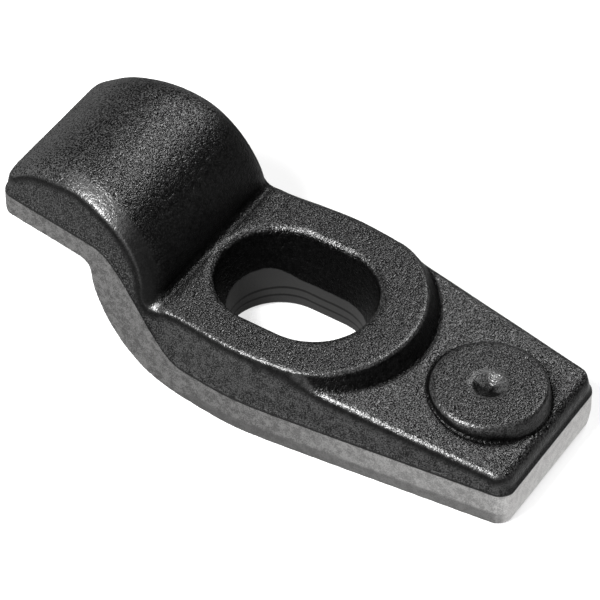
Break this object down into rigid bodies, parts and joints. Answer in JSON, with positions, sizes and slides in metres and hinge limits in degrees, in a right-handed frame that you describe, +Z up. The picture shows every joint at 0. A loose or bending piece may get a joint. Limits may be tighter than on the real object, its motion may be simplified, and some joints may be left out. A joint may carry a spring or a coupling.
{
  "type": "gooseneck strap clamp",
  "caption": "Forged gooseneck hold-down clamp with a raised curved nose, a flat platform round a through slot for a stud, and a dimpled round pad on its sloping heel.",
  "frame": {"origin": "centre of the stud slot on the flat base plane, which is also the bottom centre of the bounding box", "axes": "+Y along the length towards the nose, +Z up out of the platform, +X across the width"},
  "size_m": [0.061, 0.15, 0.0523],
  "materials": {
    "forged_black": "blasted black forging scale with a fine orange-peel grain"
  },
  "bodies": {
    "root": {"clamp_body": "forged_black"}
  },
  "joints": []
}
